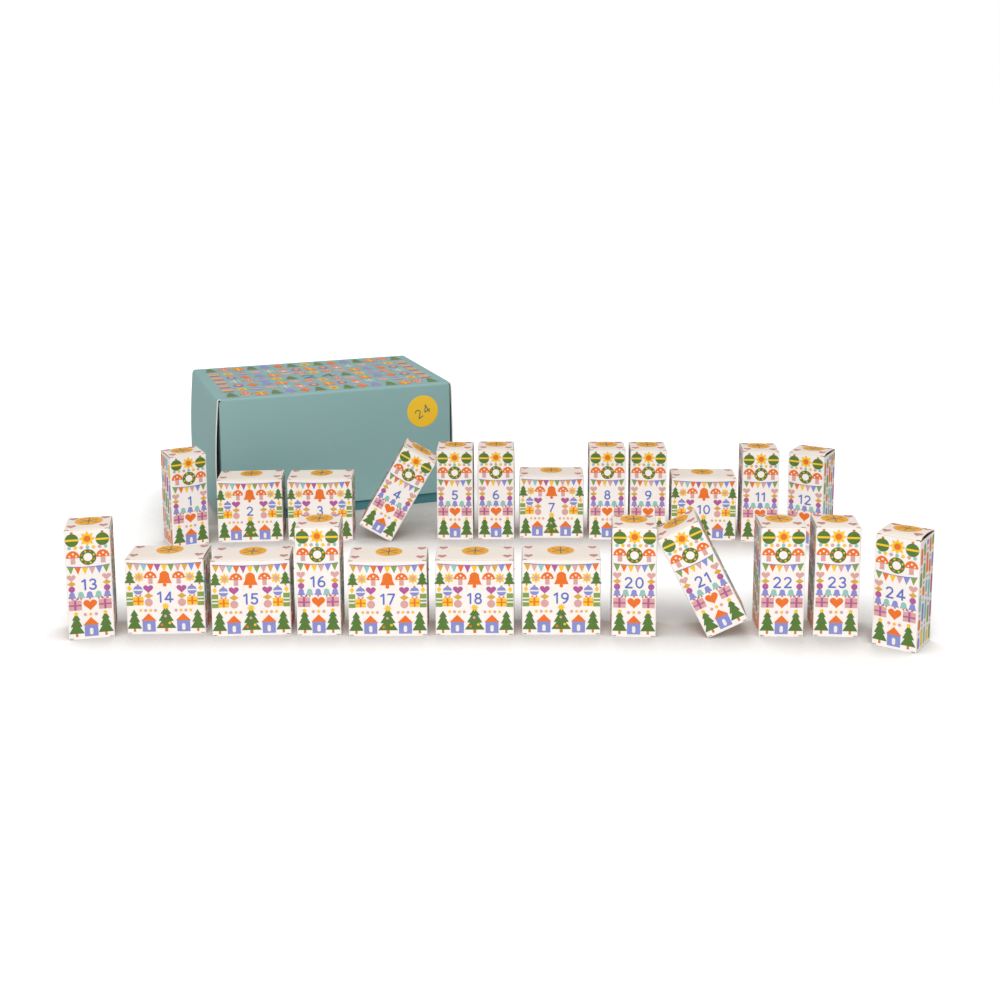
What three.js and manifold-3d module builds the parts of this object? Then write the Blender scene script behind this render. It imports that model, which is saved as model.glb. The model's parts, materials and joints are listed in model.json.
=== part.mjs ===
// An advent calendar: one lidded storage box and the 24 small folding cartons that it holds,
// set out in two rows in front of it. Millimetres, +Z up, the viewer stands on the -Y side.
import * as THREE from "three";
import { mergeVertices } from "three/addons/utils/BufferGeometryUtils.js";
import Module from "manifold-3d";

const wasm = await Module();
wasm.setup();

// Folding cartons. Two sizes share one depth, and two wide ones stack as high as a tall one
// with another laid across it.
const CARTON_DEPTH = 35;
const TALL_WIDTH = 35;
const TALL_HEIGHT = 90;
const WIDE_WIDTH = 62.5;
const WIDE_HEIGHT = 62.5;
const BOARD = 0.6; // folding boxboard of the cartons
const EDGE_RADIUS = 0.9; // outside of a folded upright edge
const EDGE_STEPS = 2;
const FOLD_GAP = 0.3; // clearance round a closed carton lid
const TUCK_LENGTH = 10; // tuck flap, from the front crease down
const TUCK_TAPER = 3; // how far each side of the tuck flap draws in
const TUCK_LEAN = 9; // degrees that the tuck flap leans in, so that it clears the front wall
const TUCK_ROUND = 3.5; // corner radius at the tuck flap's lower edge
const LOCK_LENGTH = 4; // slit lock at each end of the front crease
const LOCK_WIDTH = 0.8;
const LID_SIDE_GAP = 0.5; // a lid is this much narrower than the carton on each side
const DUST_LENGTH = 13; // dust flaps, folded in under the lid from both sides
const DUST_DROOP = 60; // degrees below level, as they hang once the carton has been opened
const DUST_TAPER = 4;
const DUST_EDGE_GAP = 1.5; // between a dust flap and the front and back walls
const GLUE_SEAM = 10; // glued strip inside the rear left edge
const GLUE_END = 4; // how far its ends are cut back
const BOTTOM_SLOT = 3; // mark of the bottom tuck at each front corner
const BOTTOM_SLOT_HEIGHT = 0.5;

// Storage box: a deep lid over a tray of the same board.
const BOX_WIDTH = 247; // outside of the lid
const BOX_DEPTH = 177;
const BOX_HEIGHT = 130;
const BOX_BOARD = 1.2;
const LID_RISE = 11; // the lid's lower edge stands this far above the floor
const FOLD_RADIUS = 2.2; // outside of the lid's long folds
const FOLD_STEPS = 4;
const TAB_LENGTH = 24; // corner tabs of the long walls, folded in behind the ends
const TAB_TAPER = 5;
const TAB_GAP = 0.4; // between a tab and the end wall that covers it
const TRAY_CLEARANCE = 0.8; // between the tray and what is nearest to it in the lid
const TRAY_HEADROOM = 11.8; // between the tray's rim and the closed lid's underside
const LEFT_BOW = 4.2; // how far the left end wall bellies out
const RIGHT_BOW = 1.4;
const BOW_STEPS = 10;
const STICKER_RADIUS = 17;
const STICKER_THICKNESS = 0.4;
const STICKER_GAP = 0.3;
const STICKER_FROM_RIGHT = 32.5; // sticker's centre, from the lid's front right edge
const STICKER_FROM_TOP = 29;

// How the set stands. A row is listed from left to right: the day, the carton's size, the
// gap to its left, how far it stands ahead of the row, and its turn in degrees.
const ROW_SPACING = 243.5;
const FRONT_ROW_SHIFT = -2.5; // the front row's middle, from the back row's
const BOX_SHIFT = -164.5; // the storage box's front middle, from the back row's
const BOX_BEHIND = 95.5; // and behind the back row's front
const BOX_TURN = 20.6;
const LEAN_TOUCH = 0.4; // between a leaning carton and the one that holds it up

const TALL = { width: TALL_WIDTH, height: TALL_HEIGHT };
const WIDE = { width: WIDE_WIDTH, height: WIDE_HEIGHT };

const BACK_ROW = [
  { day: 1, size: TALL, gap: 0, ahead: 14.5, turn: 28.4 },
  { day: 2, size: WIDE, gap: 6, ahead: 1.5, turn: 4.1 },
  { day: 3, size: WIDE, gap: 4.5, ahead: 0, turn: 1.7 },
  {
    day: 5, size: TALL, gap: 7, ahead: -3, turn: -0.9,
    leaner: { day: 4, size: TALL, side: -1, lean: 29.7, ahead: 7 },
  },
  { day: 6, size: TALL, gap: 4.5, ahead: -3.5, turn: -0.9 },
  { day: 7, size: WIDE, gap: 5, ahead: -7.5, turn: -1.3 },
  { day: 8, size: TALL, gap: 4.5, ahead: -1.5, turn: -1 },
  { day: 9, size: TALL, gap: 4, ahead: 0, turn: -2.1 },
  { day: 10, size: WIDE, gap: 4, ahead: 1, turn: -3.2 },
  { day: 11, size: TALL, gap: 3, ahead: 7, turn: -3.6 },
  { day: 12, size: TALL, gap: 6, ahead: 17.5, turn: -31.1 },
];
const FRONT_ROW = [
  { day: 13, size: TALL, gap: 0, ahead: 3, turn: 12.4 },
  { day: 14, size: WIDE, gap: 8, ahead: -6.5, turn: 1.3 },
  { day: 15, size: WIDE, gap: 4.5, ahead: -2, turn: 3.7 },
  { day: 16, size: TALL, gap: 4, ahead: -1.5, turn: 1.8 },
  { day: 17, size: WIDE, gap: 6, ahead: 0, turn: 0.7 },
  { day: 18, size: WIDE, gap: 6.5, ahead: -1, turn: -0.8 },
  { day: 19, size: WIDE, gap: 6, ahead: -1.5, turn: -0.9 },
  {
    day: 20, size: TALL, gap: 8, ahead: 3.5, turn: -3.5,
    leaner: { day: 21, size: TALL, side: 1, lean: 27, ahead: -0.5 },
  },
  { day: 22, size: TALL, gap: 7.5, ahead: 4, turn: -1.8 },
  { day: 23, size: TALL, gap: 7, ahead: 4.5, turn: -5.1 },
  { day: 24, size: TALL, gap: 4, ahead: 29.5, turn: -34.8 },
];

const MATERIALS = {
  carton: new THREE.MeshStandardMaterial({ color: 0xefe8df, roughness: 0.72, metalness: 0 }),
  cartonLid: new THREE.MeshStandardMaterial({ color: 0xe2dace, roughness: 0.72, metalness: 0 }),
  boxLid: new THREE.MeshStandardMaterial({ color: 0x84a5a2, roughness: 0.6, metalness: 0 }),
  tray: new THREE.MeshStandardMaterial({ color: 0x4f7a7c, roughness: 0.65, metalness: 0 }),
  sticker: new THREE.MeshStandardMaterial({ color: 0xf0c02e, roughness: 0.5, metalness: 0 }),
};

const radians = THREE.MathUtils.degToRad;

// A closed three.js geometry as a solid that can be joined and cut.
function solid(geometry) {
  const bare = geometry.index ? geometry.toNonIndexed() : geometry.clone();
  bare.deleteAttribute("normal");
  bare.deleteAttribute("uv");
  const merged = mergeVertices(bare, 1e-4);
  return new wasm.Manifold(
    new wasm.Mesh({
      numProp: 3,
      vertProperties: merged.attributes.position.array,
      triVerts: new Uint32Array(merged.index.array),
    }),
  );
}

function geometryOf(shape) {
  const mesh = shape.getMesh();
  const geometry = new THREE.BufferGeometry();
  geometry.setAttribute("position", new THREE.BufferAttribute(mesh.vertProperties, 3));
  geometry.setIndex(new THREE.BufferAttribute(mesh.triVerts, 1));
  const flat = geometry.toNonIndexed();
  flat.computeVertexNormals();
  return flat;
}

function join(...shapes) {
  return shapes.reduce((all, shape) => all.add(shape));
}

function cut(shape, ...tools) {
  return tools.reduce((left, tool) => left.subtract(tool), shape);
}

// A block between two corners.
function block(low, high) {
  const size = new THREE.Vector3(...high).sub(new THREE.Vector3(...low));
  const geometry = new THREE.BoxGeometry(size.x, size.y, size.z);
  geometry.translate(low[0] + size.x / 2, low[1] + size.y / 2, low[2] + size.z / 2);
  return solid(geometry);
}

// An outline drawn in two axes and drawn out along the third, from the given start.
const OUTLINE_AXES = {
  z: ["x", "y", "z"],
  x: ["y", "z", "x"],
  y: ["z", "x", "y"],
};

function extrude(shape, along, start, length, curveSegments = 1) {
  const geometry = new THREE.ExtrudeGeometry(shape, {
    depth: length,
    bevelEnabled: false,
    curveSegments,
  });
  const unit = { x: [1, 0, 0], y: [0, 1, 0], z: [0, 0, 1] };
  const axes = OUTLINE_AXES[along].map((name) => new THREE.Vector3(...unit[name]));
  geometry.applyMatrix4(new THREE.Matrix4().makeBasis(...axes));
  geometry.translate(...axes[2].clone().multiplyScalar(start).toArray());
  return solid(geometry);
}

function outline(points) {
  return new THREE.Shape(points.map(([u, v]) => new THREE.Vector2(u, v)));
}

// A rectangle with rounded corners, from (0, 0) at the middle of its front edge.
function footprint(width, depth, radius) {
  const half = width / 2;
  const shape = new THREE.Shape();
  shape.absarc(half - radius, radius, radius, -Math.PI / 2, 0);
  shape.absarc(half - radius, depth - radius, radius, 0, Math.PI / 2);
  shape.absarc(radius - half, depth - radius, radius, Math.PI / 2, Math.PI);
  shape.absarc(radius - half, radius, radius, Math.PI, 1.5 * Math.PI);
  return shape;
}

// A sheet of even thickness that follows a curve: the curve is its outer face, and the
// sheet lies on the curve's left.
function sheetOutline(curve, thickness) {
  const inner = curve.map(([u, v], i) => {
    const [u0, v0] = curve[Math.max(i - 1, 0)];
    const [u1, v1] = curve[Math.min(i + 1, curve.length - 1)];
    const length = Math.hypot(u1 - u0, v1 - v0);
    return [u - ((v1 - v0) / length) * thickness, v + ((u1 - u0) / length) * thickness];
  });
  return outline([...curve, ...inner.reverse()]);
}

// Points along a quarter bend from one direction to the next, round the given centre.
function bend(centreU, centreV, radius, from, to, steps) {
  return Array.from({ length: steps + 1 }, (_, i) => {
    const angle = radians(from + ((to - from) * i) / steps);
    return [centreU + radius * Math.cos(angle), centreV + radius * Math.sin(angle)];
  });
}

// Where a closed lid sits: its underside clears the side walls by the fold gap.
const LID_SEAT = BOARD + FOLD_GAP;

// A dust flap hangs inwards from the top of a side wall; side is 1 for the right one.
function dustFlap({ width, height }, side) {
  const front = BOARD + DUST_EDGE_GAP;
  const back = CARTON_DEPTH - BOARD - DUST_EDGE_GAP;
  const flap = extrude(
    outline([
      [0, front],
      [DUST_LENGTH, front + DUST_TAPER],
      [DUST_LENGTH, back - DUST_TAPER],
      [0, back],
    ]),
    "z",
    -BOARD,
    BOARD,
  );
  const droop = flap.rotate([0, DUST_DROOP, 0]);
  const right = side < 0 ? droop : droop.mirror([1, 0, 0]);
  return right.translate([side * (width / 2 - BOARD), 0, height - LID_SEAT]);
}

// The carton's blank folded and glued: four walls, the closed bottom and the dust flaps.
function cartonBody(size) {
  const { width, height } = size;
  const half = width / 2;
  const outside = extrude(
    footprint(width, CARTON_DEPTH, EDGE_RADIUS), "z", 0, height, EDGE_STEPS);
  const inside = block(
    [BOARD - half, BOARD, BOARD], [half - BOARD, CARTON_DEPTH - BOARD, height + 1]);
  const seat = block([-width, BOARD, height - LID_SEAT], [width, CARTON_DEPTH + 1, height + 1]);
  const slots = [-1, 1].map((side) =>
    block(
      [side * (half - BOTTOM_SLOT / 2) - BOTTOM_SLOT / 2, -1, BOARD],
      [side * (half - BOTTOM_SLOT / 2) + BOTTOM_SLOT / 2, BOARD / 2, BOARD + BOTTOM_SLOT_HEIGHT],
    ),
  );
  const back = CARTON_DEPTH - BOARD;
  const seam = extrude(
    outline([
      [back + 0.1, BOARD],
      [back + 0.1, height - LID_SEAT],
      [back - GLUE_SEAM, height - LID_SEAT - GLUE_END],
      [back - GLUE_SEAM, BOARD + GLUE_END],
    ]),
    "x",
    BOARD / 2 - half,
    1.5 * BOARD,
  );
  const walls = cut(outside, inside, seat, ...slots);
  return join(walls, seam, dustFlap(size, -1), dustFlap(size, 1));
}

// The lid panel and its tuck flap, with the rear crease along X at the origin.
function cartonLid({ width }) {
  const top = BOARD + FOLD_GAP / 2;
  const reach = CARTON_DEPTH - BOARD - FOLD_GAP;
  const round = BOARD + FOLD_GAP;
  const fold = bend(round - reach, top - round, round, 90, 180 + TUCK_LEAN, 3);
  const [foldY, foldZ] = fold[fold.length - 1];
  const lean = radians(TUCK_LEAN);
  const end = TUCK_LENGTH - round;
  const tip = [foldY + end * Math.sin(lean), foldZ - end * Math.cos(lean)];
  const half = width / 2 - LID_SIDE_GAP;
  const sheet = extrude(
    sheetOutline([[0, top], ...fold, tip], BOARD), "x", -half, 2 * half);
  const low = tip[1];
  const tuckHalf = width / 2 - BOARD - FOLD_GAP;
  const tipHalf = tuckHalf - TUCK_TAPER;
  const sides = [-1, 1].map((side) => {
    const corner = new THREE.Shape();
    corner.moveTo(low - 1, side * (tipHalf - TUCK_ROUND));
    corner.lineTo(low, side * (tipHalf - TUCK_ROUND));
    corner.quadraticCurveTo(low, side * tipHalf, low + TUCK_ROUND, side * (tipHalf + 1));
    corner.lineTo(top - round, side * tuckHalf);
    corner.lineTo(top - round, side * (half + 1));
    corner.lineTo(low - 1, side * (half + 1));
    return extrude(corner, "y", -CARTON_DEPTH - 1, CARTON_DEPTH - 4, 3);
  });
  const locks = [-1, 1].map((side) =>
    block(
      [side * (half - LOCK_LENGTH / 2 + 0.5) - LOCK_LENGTH / 2, -reach - 1, top - round],
      [side * (half - LOCK_LENGTH / 2 + 0.5) + LOCK_LENGTH / 2, -reach + LOCK_WIDTH, top + 1],
    ),
  );
  return cut(sheet, ...sides, ...locks);
}

// The storage box's lid: front, top and back in one folded sheet, the corner tabs at both
// ends of its long walls, and two end walls that bow out and stand off the tabs.
function endWall(side, bow) {
  const half = BOX_WIDTH / 2;
  const drop = BOX_HEIGHT - LID_RISE;
  const curve = Array.from({ length: BOW_STEPS + 1 }, (_, i) => {
    const down = i / BOW_STEPS;
    const belly = bow * Math.sin(Math.PI * 0.72 * down ** 0.9);
    return [drop * (1 - down), half - BOX_BOARD + belly];
  });
  const outer = curve.map(([z, x]) => [z, side * (x + BOX_BOARD)]);
  const inner = curve.map(([z, x]) => [z, side * x]).reverse();
  const wall = extrude(outline([...outer, ...inner]), "y", 0, BOX_DEPTH);
  return wall;
}

function cornerTab(side, y, into) {
  const outer = BOX_WIDTH / 2 - BOX_BOARD - TAB_GAP;
  const drop = BOX_HEIGHT - LID_RISE;
  return extrude(
    outline([
      [y, 0],
      [y, drop - BOX_BOARD / 2],
      [y + into * TAB_LENGTH, drop - BOX_BOARD - TAB_TAPER],
      [y + into * TAB_LENGTH, TAB_TAPER],
    ]),
    "x",
    side > 0 ? outer - BOX_BOARD : -outer,
    BOX_BOARD,
  );
}

function boxLid() {
  const half = BOX_WIDTH / 2;
  const drop = BOX_HEIGHT - LID_RISE;
  const r = FOLD_RADIUS;
  const sheet = extrude(
    sheetOutline(
      [
        [BOX_DEPTH, 0],
        ...bend(BOX_DEPTH - r, drop - r, r, 0, 90, FOLD_STEPS),
        ...bend(r, drop - r, r, 90, 180, FOLD_STEPS),
        [0, 0],
      ],
      BOX_BOARD,
    ),
    "x",
    BOX_BOARD - half + TAB_GAP,
    BOX_WIDTH - 2 * (BOX_BOARD + TAB_GAP),
  );
  const topEnds = [-1, 1].map((side) =>
    block(
      [side * (half - BOX_BOARD) - BOX_BOARD, r, drop - BOX_BOARD],
      [side * (half - BOX_BOARD) + BOX_BOARD, BOX_DEPTH - r, drop],
    ),
  );
  const tabs = [-1, 1].flatMap((side) => [
    cornerTab(side, BOX_BOARD / 2, 1),
    cornerTab(side, BOX_DEPTH - BOX_BOARD / 2, -1),
  ]);
  return join(sheet, ...topEnds, endWall(-1, LEFT_BOW), endWall(1, RIGHT_BOW), ...tabs);
}

// The tray, from the same sizes: it slides in past the lid's corner tabs.
const TRAY_WIDTH = BOX_WIDTH - 2 * (2 * BOX_BOARD + TAB_GAP + TRAY_CLEARANCE);
const TRAY_DEPTH = BOX_DEPTH - 2 * (BOX_BOARD + TRAY_CLEARANCE);
const TRAY_HEIGHT = BOX_HEIGHT - BOX_BOARD - TRAY_HEADROOM;

function boxTray() {
  const half = TRAY_WIDTH / 2;
  const outside = extrude(
    footprint(TRAY_WIDTH, TRAY_DEPTH, EDGE_RADIUS), "z", 0, TRAY_HEIGHT, EDGE_STEPS);
  const inside = block(
    [BOX_BOARD - half, BOX_BOARD, BOX_BOARD],
    [half - BOX_BOARD, TRAY_DEPTH - BOX_BOARD, TRAY_HEIGHT + 1],
  );
  const tabs = [-1, 1].flatMap((side) =>
    [0, 1].map((end) => {
      const y = end ? TRAY_DEPTH - BOX_BOARD / 2 : BOX_BOARD / 2;
      const into = end ? -1 : 1;
      const inner = half - 1.5 * BOX_BOARD;
      return extrude(
        outline([
          [y, BOX_BOARD / 2],
          [y, TRAY_HEIGHT - 1],
          [y + into * TAB_LENGTH, TRAY_HEIGHT - 1 - TAB_TAPER],
          [y + into * TAB_LENGTH, TAB_TAPER],
        ]),
        "x",
        side > 0 ? inner - BOX_BOARD / 2 : -inner - BOX_BOARD / 2,
        BOX_BOARD,
      );
    }),
  );
  return join(cut(outside, inside), ...tabs);
}

function mesh(name, geometry, material) {
  const made = new THREE.Mesh(geometry, material);
  made.name = name;
  return made;
}

const BODY_GEOMETRY = new Map([TALL, WIDE].map((size) => [size, geometryOf(cartonBody(size))]));
const LID_GEOMETRY = new Map([TALL, WIDE].map((size) => [size, geometryOf(cartonLid(size))]));

// One carton, standing with the middle of its lower front edge at its group's origin.
function carton(day, size) {
  const label = String(day).padStart(2, "0");
  const group = new THREE.Group();
  const lid = mesh(`carton_${label}_lid`, LID_GEOMETRY.get(size), MATERIALS.cartonLid);
  lid.position.set(0, CARTON_DEPTH, size.height - BOARD - FOLD_GAP / 2);
  group.add(mesh(`carton_${label}_body`, BODY_GEOMETRY.get(size), MATERIALS.carton), lid);
  return group;
}

// A carton that leans on the one beside it, tipped about its lower edge on that side.
function leaningCarton({ day, size, side, lean, ahead }, support) {
  const tilt = radians(lean);
  const foot = support.width / 2 + LEAN_TOUCH + size.height * Math.sin(tilt);
  const pivot = new THREE.Group();
  pivot.position.set(side * foot, -ahead, 0);
  pivot.rotation.y = -side * tilt;
  const standing = carton(day, size);
  standing.position.x = (side * size.width) / 2;
  pivot.add(standing);
  return pivot;
}

// How far a turned carton, and what leans on it, reaches to its left and right.
function reaches({ size, turn, leaner }) {
  const angle = radians(turn);
  const half = (size.width / 2) * Math.cos(angle);
  const swing = CARTON_DEPTH * Math.sin(angle);
  const extra = leaner
    ? LEAN_TOUCH +
      leaner.size.height * Math.sin(radians(leaner.lean)) +
      leaner.size.width * Math.cos(radians(leaner.lean))
    : 0;
  const left = half + Math.max(swing, 0) + (leaner && leaner.side < 0 ? extra : 0);
  const right = half + Math.max(-swing, 0) + (leaner && leaner.side > 0 ? extra : 0);
  return { left, right };
}

// A row of cartons in a group whose origin is the middle of the row's front line.
function row(entries) {
  const group = new THREE.Group();
  let edge = 0;
  for (const entry of entries) {
    const { left, right } = reaches(entry);
    const place = new THREE.Group();
    place.position.set(edge + entry.gap + left, -entry.ahead, 0);
    place.rotation.z = radians(entry.turn);
    place.add(carton(entry.day, entry.size));
    if (entry.leaner) place.add(leaningCarton(entry.leaner, entry.size));
    group.add(place);
    edge += entry.gap + left + right;
  }
  for (const place of group.children) place.position.x -= edge / 2;
  return group;
}

// The storage box in a group whose origin is the middle of its lower front edge.
function storageBox() {
  const group = new THREE.Group();
  const lid = mesh("box_lid", geometryOf(boxLid()), MATERIALS.boxLid);
  lid.position.z = LID_RISE;
  const tray = mesh("box_tray", geometryOf(boxTray()), MATERIALS.tray);
  tray.position.y = BOX_BOARD + TRAY_CLEARANCE;
  const disc = new THREE.CylinderGeometry(STICKER_RADIUS, STICKER_RADIUS, STICKER_THICKNESS, 40);
  const sticker = mesh("box_sticker", disc, MATERIALS.sticker);
  sticker.position.set(
    BOX_WIDTH / 2 - STICKER_FROM_RIGHT,
    -STICKER_GAP - STICKER_THICKNESS / 2,
    BOX_HEIGHT - STICKER_FROM_TOP,
  );
  group.add(lid, tray, sticker);
  return group;
}

const calendar = new THREE.Group();
const box = storageBox();
box.position.set(BOX_SHIFT, BOX_BEHIND, 0);
box.rotation.z = radians(BOX_TURN);
const frontRow = row(FRONT_ROW);
frontRow.position.set(FRONT_ROW_SHIFT, -ROW_SPACING, 0);
calendar.add(box, row(BACK_ROW), frontRow);

// The origin is the middle of the space that the whole set takes on the floor.
const middle = new THREE.Box3().setFromObject(calendar, true).getCenter(new THREE.Vector3());
for (const part of calendar.children) {
  part.position.x -= middle.x;
  part.position.y -= middle.y;
}

export default calendar;
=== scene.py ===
# %% [markdown]
# # A Christmas countdown in 24 little cartons
# The set is one lidded storage box and 24 small folding cartons in two rows. The packed
# model already holds every board at its real size and every hinge. This lesson dresses it:
# thin folded board with soft creases, raw cut edges, and a print of small flat motifs.
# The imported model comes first, because every later piece reads its place from it.

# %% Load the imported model
import json
import math
import random

import bmesh
import bpy
from mathutils import Matrix, Vector


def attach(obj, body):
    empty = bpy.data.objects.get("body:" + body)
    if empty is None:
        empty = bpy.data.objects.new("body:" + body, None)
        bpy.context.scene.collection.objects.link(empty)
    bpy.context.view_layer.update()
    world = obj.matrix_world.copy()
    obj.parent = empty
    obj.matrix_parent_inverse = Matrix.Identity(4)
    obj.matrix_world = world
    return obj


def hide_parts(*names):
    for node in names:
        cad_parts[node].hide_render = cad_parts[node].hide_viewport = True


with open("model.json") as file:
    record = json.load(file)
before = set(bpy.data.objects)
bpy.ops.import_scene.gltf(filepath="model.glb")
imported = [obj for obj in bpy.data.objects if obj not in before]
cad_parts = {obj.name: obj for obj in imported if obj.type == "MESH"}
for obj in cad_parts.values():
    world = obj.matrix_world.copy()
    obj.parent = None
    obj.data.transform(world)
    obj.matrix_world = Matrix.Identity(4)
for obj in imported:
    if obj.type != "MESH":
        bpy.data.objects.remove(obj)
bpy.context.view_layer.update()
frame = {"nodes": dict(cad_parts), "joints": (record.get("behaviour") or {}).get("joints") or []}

# %% [markdown]
# ## The floor and the camera
# The set stands on a white sweep. One large plane does for both floor and background when
# the camera looks down on it, so no backdrop has to be lined up with it.
# The camera is placed from the lines of the boxes, as if on a tripod in front of the rows.
# Its sensor is shifted a little, which keeps the uprights nearly parallel.

# %% Camera and floor
MM = 0.001
CAMERA_PLACE = Vector((6.27, -1276.11, 409.9)) * MM
CAMERA_PITCH = 8.634
CAMERA_ROLL = -0.195
LENS = 48.366
SENSOR_SHIFT = (-0.0007, -0.18)
FLOOR_SIZE = 30

camera_data = bpy.data.cameras.new("camera")
camera_data.lens = LENS
camera_data.shift_x, camera_data.shift_y = SENSOR_SHIFT
camera = bpy.data.objects.new("camera", camera_data)
camera.matrix_world = (
    Matrix.Translation(CAMERA_PLACE)
    @ Matrix.Rotation(math.radians(90 - CAMERA_PITCH), 4, "X")
    @ Matrix.Rotation(math.radians(CAMERA_ROLL), 4, "Z")
)
bpy.context.scene.collection.objects.link(camera)
bpy.context.scene.camera = camera

bpy.ops.mesh.primitive_plane_add(size=FLOOR_SIZE)
floor = bpy.context.object
floor.name = "floor"
print("camera at", [round(x, 3) for x in CAMERA_PLACE])

# %% [markdown]
# ## Shader sums in plain Python
# A finish is a sum of patterns. Nodes could be wired by hand, but long chains are hard to
# read. A small class wraps one output socket, so that `base * 0.9 + speck` adds its own
# Math nodes, and one method makes any other node.

# %% A socket that takes part in sums
class Value:
    """One output of a material's nodes, for use in Python sums."""

    def __init__(self, tree, socket=None):
        self.tree = tree
        self.socket = socket

    def node(self, kind, settings=None, inputs=None, output=0):
        made = self.tree.nodes.new(kind)
        for name, setting in (settings or {}).items():
            setattr(made, name, setting)
        for name, value in (inputs or {}).items():
            if isinstance(value, Value):
                self.tree.links.new(value.socket, made.inputs[name])
            else:
                made.inputs[name].default_value = value
        return Value(self.tree, made.outputs[output])

    def maths(self, operation, *values):
        return self.node("ShaderNodeMath", {"operation": operation}, dict(enumerate(values)))

    def __add__(self, other):
        return self.maths("ADD", self, other)

    def __sub__(self, other):
        return self.maths("SUBTRACT", self, other)

    def __rsub__(self, other):
        return self.maths("SUBTRACT", other, self)

    def __mul__(self, other):
        return self.maths("MULTIPLY", self, other)

    __radd__, __rmul__ = __add__, __mul__

    def clamped(self, low=0.0, high=1.0):
        return self.maths("MINIMUM", self.maths("MAXIMUM", self, low), high)


# %% Colours and finishes
def linear(hexadecimal):
    """A colour as written on screen, as the linear numbers that the renderer sums."""
    out = []
    for i in (0, 2, 4):
        part = int(hexadecimal[i : i + 2], 16) / 255
        out.append(part / 12.92 if part <= 0.04045 else ((part + 0.055) / 1.055) ** 2.4)
    return (*out, 1.0)


def finish(name, build, **constants):
    """A material: build gets a Value to start from and returns what varies, by socket."""
    made = bpy.data.materials.new(name)
    made.use_nodes = True
    tree = made.node_tree
    shader = tree.nodes["Principled BSDF"]
    for socket, value in constants.items():
        shader.inputs[socket.replace("_", " ")].default_value = value
    for socket, value in build(Value(tree)).items():
        tree.links.new(value.socket, shader.inputs[socket])
    return made


def place_of(start):
    return start.node("ShaderNodeTexCoord", output="Object")


def noise(start, scale, detail, stretch=(1, 1, 1)):
    at = start.node(
        "ShaderNodeVectorMath", {"operation": "MULTIPLY"}, {0: place_of(start), 1: stretch})
    return start.node(
        "ShaderNodeTexNoise", inputs={"Vector": at, "Scale": scale, "Detail": detail})


def mixed(start, share, first, second):
    """The colour first where share is 0 and second where it is 1."""
    return start.node(
        "ShaderNodeMix", {"data_type": "RGBA"}, {0: share, 6: first, 7: second}, 2)


def bumped(start, height, strength, distance):
    inputs = {"Height": height, "Strength": strength, "Distance": distance}
    return start.node("ShaderNodeBump", inputs=inputs)


print("teal to the renderer:", [round(c, 3) for c in linear("91b4b3")])

# %% [markdown]
# ## Boards and inks
# The cartons are coated boxboard: a warm white face, a duller inside and a raw grey-brown
# cut edge. The print is a spot-colour print that lets a little of the board's grain through.
# A picture could carry the whole print, but it would blur close up. Here every motif is a
# thin face of its own, and an ink is a plain colour broken up by grain.

# %% Boards
CLOUD_SCALE, WAVE_SCALE, GRAIN_SCALE = 18, 260, 900  # noise patterns to a metre
GRAIN_RUN = (1, 1, 0.35)  # the board's fibres run upright
BOARD_GLOSS = 0.2
BOARD_ROUGHNESS = 0.58
BUMP_STRENGTH, BUMP_HEIGHT = 0.22, 0.0003


def board(name, face, shade, fibre=0.0):
    """Coated board: face and shade mix in clouds and grain, and fibre adds to the grain."""

    def build(start):
        cloud = noise(start, CLOUD_SCALE, 3)
        grain = noise(start, GRAIN_SCALE, 3, GRAIN_RUN)
        share = ((cloud - 0.5) * 0.8 + (grain - 0.5) * (0.6 + fibre) + 0.5).clamped()
        height = noise(start, WAVE_SCALE, 4) * 0.6 + grain * 0.4
        return {
            "Base Color": mixed(start, share, linear(shade), linear(face)),
            "Roughness": grain * 0.12 + BOARD_ROUGHNESS,
            "Normal": bumped(start, height, BUMP_STRENGTH, BUMP_HEIGHT),
        }

    return finish(name, build, Specular_IOR_Level=BOARD_GLOSS)


carton_board = board("carton_board", "f9f2ed", "f2eae3")
# the lids' tops are a greyer copy of the walls' board: painted shade on the tops
carton_top_painted_shade = board("carton_top_board", "f3e9df", "eadfd4")
board_inside = board("carton_inside_board", "ddd6ca", "cfc6b8", 0.6)
board_edge = board("raw_board_edge", "d3c6b4", "b09d86", 0.8)
lid_board = board("storage_lid_board", "91b4b3", "89aeac")
lid_inside = board("storage_lid_inside", "5f8385", "587b7d", 0.3)
lid_edge = board("storage_raw_edge", "f2eee8", "d9d2c8", 0.6)
tray_board = board("storage_tray_board", "50858a", "487a80")
sticker_paper = board("sticker_paper", "f8ca38", "f2c02a")
print("materials so far, with the packed ones:", len(bpy.data.materials))

# %% Inks
INKS = {
    "green": "86a24a", "deep_green": "557a30", "yellow": "fcc92a", "gold": "dfab3e",
    "orange": "f0741c", "pink": "dfa8a2", "blue": "8a91d2", "teal": "94c8be",
    "magenta": "b65a98", "rust": "cf7f26", "sky": "86bfe0", "number": "6475c4",
    "cream": "f8efe6", "seal": "f0a81c", "rose": "c98482", "slate": "44666b",
}
INK_CLOUD_SCALE, INK_GRAIN_SCALE = 120, 1500
THIN_INK, THICK_INK = 0.035, 0.86  # how far thin ink fades to white, and what thick ink keeps
INK_GLOSS = 0.15
INK_ROUGHNESS = 0.45


def ink(name, colour):
    def build(start):
        grain = noise(start, INK_GRAIN_SCALE, 3)
        cloud = noise(start, INK_CLOUD_SCALE, 3)
        share = ((grain - 0.5) * 1.5 + (cloud - 0.5) * 0.7 + 0.45).clamped()
        light = [c + (1 - c) * THIN_INK for c in linear(colour)[:3]]
        dark = [c * THICK_INK for c in linear(colour)[:3]]
        return {
            "Base Color": mixed(start, share, (*dark, 1.0), (*light, 1.0)),
            "Roughness": grain * 0.2 + INK_ROUGHNESS,
        }

    return finish("ink_" + name, build, Specular_IOR_Level=INK_GLOSS)


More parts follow.
